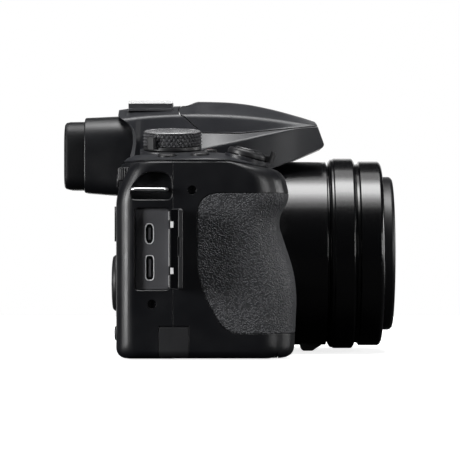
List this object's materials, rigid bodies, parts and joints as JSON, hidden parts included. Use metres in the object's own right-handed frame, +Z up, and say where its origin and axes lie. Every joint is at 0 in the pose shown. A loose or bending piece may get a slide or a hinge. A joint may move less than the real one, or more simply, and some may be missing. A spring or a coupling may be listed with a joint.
{
  "type": "bridge camera",
  "caption": "Bridge camera with a leather-grained grip, long zoom lens in telescoping barrels, finder hump with pop-up flash, hot shoe, dials, buttons and an open port door.",
  "frame": {"origin": "mouth of the tripod socket in the base, in the plane of the lens axis", "axes": "+X forward along the lens, +Y to the camera's left, +Z up"},
  "size_m": [0.1234, 0.1418, 0.0943],
  "materials": {
    "body_plastic": "fine-grained moulded plastic",
    "deck_plastic": "fine-grained moulded plastic",
    "finder_plastic": "fine-grained moulded plastic",
    "leatherette": "leather-grained rubber",
    "rubber": "soft matte rubber",
    "eyecup_rubber": "soft matte rubber",
    "door_rubber": "matte soft-touch plastic",
    "control_black": "satin black plastic",
    "lens_gloss": "glossy black lacquer",
    "lens_satin": "satin black",
    "glass": "coated optical glass",
    "screen_glass": "glossy black window",
    "flash_clear": "frosted clear plastic",
    "lamp_red": "tinted clear plastic",
    "shoe_metal": "bright nickel",
    "contact_gold": "gold flash",
    "bush_brass": "plated brass",
    "black_screw": "black oxide",
    "chassis_metal": "pressed sheet",
    "board_green": "solder-masked board",
    "battery_grey": "satin plastic",
    "inner_black": "matte black",
    "port_grey": "matte dark grey"
  },
  "bodies": {
    "body": {"front_cover": "body_plastic", "rear_cover": "body_plastic", "top_cover": "deck_plastic", "grip_cover": "leatherette", "thumb_rest": "rubber", "finder_housing": "finder_plastic", "eyecup": "eyecup_rubber", "eyepiece_lens": "glass", "finder_display": "inner_black", "hot_shoe": "shoe_metal", "shoe_contacts": "contact_gold", "port_panel": "port_grey", "hdmi_socket": "shoe_metal", "usb_socket": "shoe_metal", "strap_loop_right": "shoe_metal", "strap_loop_left": "shoe_metal", "case_screws": "black_screw", "screen_module": "inner_black", "screen_window": "screen_glass", "tripod_bush": "bush_brass", "fixed_barrel": "lens_gloss", "lens_ring": "lens_gloss", "lens_collar": "lens_gloss", "rear_lens_group": "inner_black", "image_sensor": "board_green", "chassis": "chassis_metal", "main_board": "board_green", "zoom_motor": "chassis_metal", "flash_capacitor": "inner_black", "battery": "battery_grey", "memory_card": "inner_black", "focus_lamp": "lamp_red", "flash_hinge_pin": "chassis_metal"},
    "middle_barrel": {"middle_barrel": "lens_satin"},
    "front_barrel": {"front_barrel": "lens_satin", "front_lens": "glass"},
    "mode_dial": {"mode_dial": "control_black"},
    "power_lever": {"power_lever": "control_black"},
    "zoom_lever": {"zoom_lever": "control_black"},
    "shutter_button": {"shutter_button": "control_black"},
    "deck_button_rear": {"deck_button_rear": "control_black"},
    "deck_button_front": {"deck_button_front": "control_black"},
    "movie_button": {"movie_button": "control_black"},
    "flash_button": {"flash_button": "control_black"},
    "rear_dial": {"rear_dial": "control_black"},
    "cursor_pad": {"cursor_pad": "control_black"},
    "set_button": {"set_button": "control_black"},
    "finder_button": {"finder_button": "control_black"},
    "lock_button": {"lock_button": "control_black"},
    "play_button": {"play_button": "control_black"},
    "menu_button": {"menu_button": "control_black"},
    "display_button": {"display_button": "control_black"},
    "dioptre_dial": {"dioptre_dial": "control_black"},
    "flash_head": {"flash_head": "deck_plastic", "flash_window": "flash_clear"},
    "port_door": {"port_door": "door_rubber"},
    "remote_door": {"remote_door": "door_rubber"},
    "coupler_flap": {"coupler_flap": "door_rubber"},
    "battery_door": {"battery_door": "body_plastic"},
    "battery_latch": {"battery_latch": "control_black"}
  },
  "joints": [
    {"name": "zoom_slide", "type": "slide", "parent": "body", "child": "middle_barrel", "axis": [1, 0, 0], "range_m": [0, 0.03]},
    {"name": "front_slide", "type": "slide", "parent": "middle_barrel", "child": "front_barrel", "axis": [1, 0, 0], "range_m": [0, 0.026]},
    {"name": "mode_turn", "type": "hinge", "parent": "body", "child": "mode_dial", "pos_m": [-0.021, -0.038, 0.0768], "axis": [0, -0.1219, 0.9925], "continuous": true},
    {"name": "power_turn", "type": "hinge", "parent": "body", "child": "power_lever", "pos_m": [-0.021, -0.038, 0.0768], "axis": [0, -0.1219, 0.9925], "range_deg": [0, 38]},
    {"name": "zoom_turn", "type": "hinge", "parent": "body", "child": "zoom_lever", "pos_m": [0.0058, -0.05, 0.0712], "axis": [0.2588, 0, 0.9659], "range_deg": [-18, 18], "stiffness_Nm_per_rad": 0.05},
    {"name": "shutter_button_press", "type": "slide", "parent": "body", "child": "shutter_button", "axis": [-0.2588, 0, -0.9659], "range_m": [0, 0.0012], "stiffness_N_per_m": 600},
    {"name": "deck_button_rear_press", "type": "slide", "parent": "body", "child": "deck_button_rear", "axis": [0, 0.1736, -0.9848], "range_m": [0, 0.0006], "stiffness_N_per_m": 500},
    {"name": "deck_button_front_press", "type": "slide", "parent": "body", "child": "deck_button_front", "axis": [0, 0.1736, -0.9848], "range_m": [0, 0.0006], "stiffness_N_per_m": 500},
    {"name": "movie_button_press", "type": "slide", "parent": "body", "child": "movie_button", "axis": [0, 0, -1], "range_m": [0, 0.0006], "stiffness_N_per_m": 500},
    {"name": "flash_button_press", "type": "slide", "parent": "body", "child": "flash_button", "axis": [0, 0, -1], "range_m": [0, 0.0008], "stiffness_N_per_m": 500},
    {"name": "rear_dial_turn", "type": "hinge", "parent": "body", "child": "rear_dial", "pos_m": [-0.0331, -0.055, 0.0656], "axis": [0, 0, 1], "continuous": true},
    {"name": "cursor_pad_press", "type": "slide", "parent": "body", "child": "cursor_pad", "axis": [1, 0, 0], "range_m": [0, 0.0006], "stiffness_N_per_m": 600},
    {"name": "set_button_press", "type": "slide", "parent": "body", "child": "set_button", "axis": [1, 0, 0], "range_m": [0, 0.0006], "stiffness_N_per_m": 500},
    {"name": "finder_button_press", "type": "slide", "parent": "body", "child": "finder_button", "axis": [1, 0, 0], "range_m": [0, 0.0006], "stiffness_N_per_m": 500},
    {"name": "lock_button_press", "type": "slide", "parent": "body", "child": "lock_button", "axis": [1, 0, 0], "range_m": [0, 0.0006], "stiffness_N_per_m": 500},
    {"name": "play_button_press", "type": "slide", "parent": "body", "child": "play_button", "axis": [1, 0, 0], "range_m": [0, 0.0006], "stiffness_N_per_m": 500},
    {"name": "menu_button_press", "type": "slide", "parent": "body", "child": "menu_button", "axis": [1, 0, 0], "range_m": [0, 0.0006], "stiffness_N_per_m": 500},
    {"name": "display_button_press", "type": "slide", "parent": "body", "child": "display_button", "axis": [1, 0, 0], "range_m": [0, 0.0006], "stiffness_N_per_m": 500},
    {"name": "dioptre_turn", "type": "hinge", "parent": "body", "child": "dioptre_dial", "pos_m": [-0.0485, 0.0161, 0.074], "axis": [0, 1, 0], "range_deg": [-150, 150]},
    {"name": "flash_hinge", "type": "hinge", "parent": "body", "child": "flash_head", "pos_m": [-0.0168, 0, 0.0906], "axis": [0, -1, 0], "range_deg": [0, 52]},
    {"name": "port_hinge", "type": "hinge", "parent": "body", "child": "port_door", "pos_m": [-0.0203, -0.0702, 0.0389], "axis": [0, 0, 1], "range_deg": [-104, 0]},
    {"name": "remote_hinge", "type": "hinge", "parent": "body", "child": "remote_door", "pos_m": [-0.022, 0.0542, 0.036], "axis": [0, 0, -1], "range_deg": [0, 100]},
    {"name": "flap_hinge", "type": "hinge", "parent": "body", "child": "coupler_flap", "pos_m": [-0.0199, -0.0702, 0.01075], "axis": [-1, 0, 0], "range_deg": [0, 95]},
    {"name": "battery_hinge", "type": "hinge", "parent": "body", "child": "battery_door", "pos_m": [-0.001, -0.0446, 0.0013], "axis": [1, 0, 0], "range_deg": [0, 90]},
    {"name": "latch_slide", "type": "slide", "parent": "battery_door", "child": "battery_latch", "axis": [1, 0, 0], "range_m": [0, 0.003]}
  ],
  "couplings": [
    {"joint": "front_slide", "follows": "zoom_slide", "ratio": 0.86667}
  ]
}
